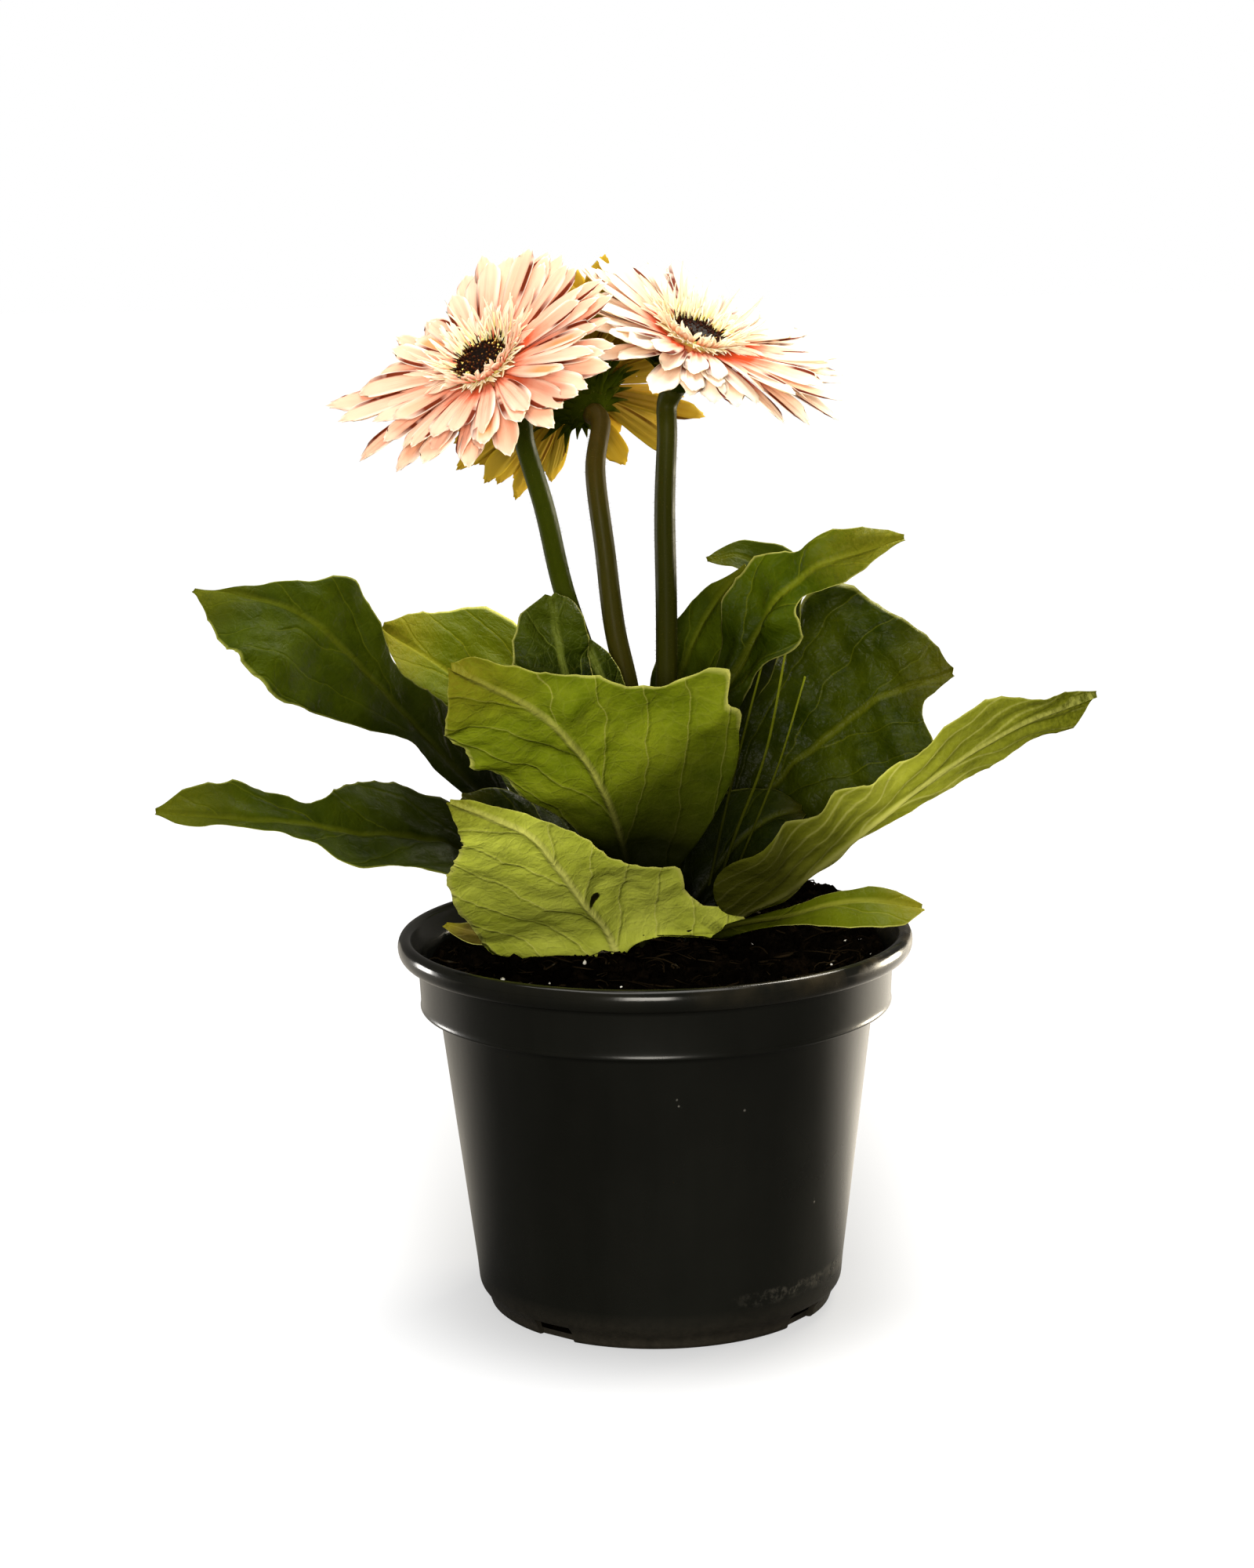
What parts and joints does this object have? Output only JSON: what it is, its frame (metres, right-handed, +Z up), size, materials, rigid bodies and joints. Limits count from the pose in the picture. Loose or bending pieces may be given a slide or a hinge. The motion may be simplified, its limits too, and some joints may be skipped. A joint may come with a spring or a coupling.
{
  "type": "potted gerbera",
  "caption": "Gerbera daisy in a round nursery pot: lobed leaves in a low rosette, and salmon and cream flower heads on bare upright stalks.",
  "frame": {"origin": "centre of the pot's foot, on the surface that the pot stands on", "axes": "+Z up out of the pot, -Y towards the front, where the large front leaves hang, +X to the right seen from the front"},
  "size_m": [0.2766, 0.1979, 0.3171],
  "materials": {
    "pot": "near-black moulded plastic, semi-gloss, with fine dust",
    "compost": "moist near-black potting compost with white perlite; fabric stands in for loose fibrous earth",
    "leaf": "glossy mid to dark green leaf with pale veins; leather stands in for leaf tissue",
    "scape": "finely hairy green flower stalk; leather stands in for stem tissue",
    "bract": "dark green overlapping bracts; leather stands in for leaf tissue",
    "ray": "soft salmon-pink petals that fade to cream at the tip; fabric stands in for petal tissue",
    "crest": "cream and pale yellow narrow florets; fabric stands in for petal tissue",
    "eye": "dark brown packed disc florets; fabric stands in for floret tissue"
  },
  "bodies": {
    "root": {"pot": "pot", "compost": "compost", "leaf_left_high": "leaf", "leaf_left_behind": "leaf", "leaf_left_low": "leaf", "leaf_front_centre": "leaf", "leaf_front_low": "leaf", "leaf_right_low": "leaf", "leaf_right_long": "leaf", "leaf_right_dark": "leaf", "leaf_right_high": "leaf", "leaf_back_right": "leaf", "leaf_back_centre": "leaf", "leaf_young_left": "leaf", "leaf_young_right": "leaf", "leaf_left_inner": "leaf", "leaf_soil_left": "leaf", "leaf_right_inner": "leaf", "leaf_back_left": "leaf", "leaf_back_low": "leaf", "leaf_back_far_right": "leaf", "scape_left": "scape", "involucre_left": "bract", "rays_left": "ray", "crest_left": "crest", "eye_left": "eye", "scape_back": "scape", "involucre_back": "bract", "rays_back": "ray", "crest_back": "crest", "eye_back": "eye", "scape_right": "scape", "involucre_right": "bract", "rays_right": "ray", "crest_right": "crest", "eye_right": "eye"}
  },
  "joints": []
}
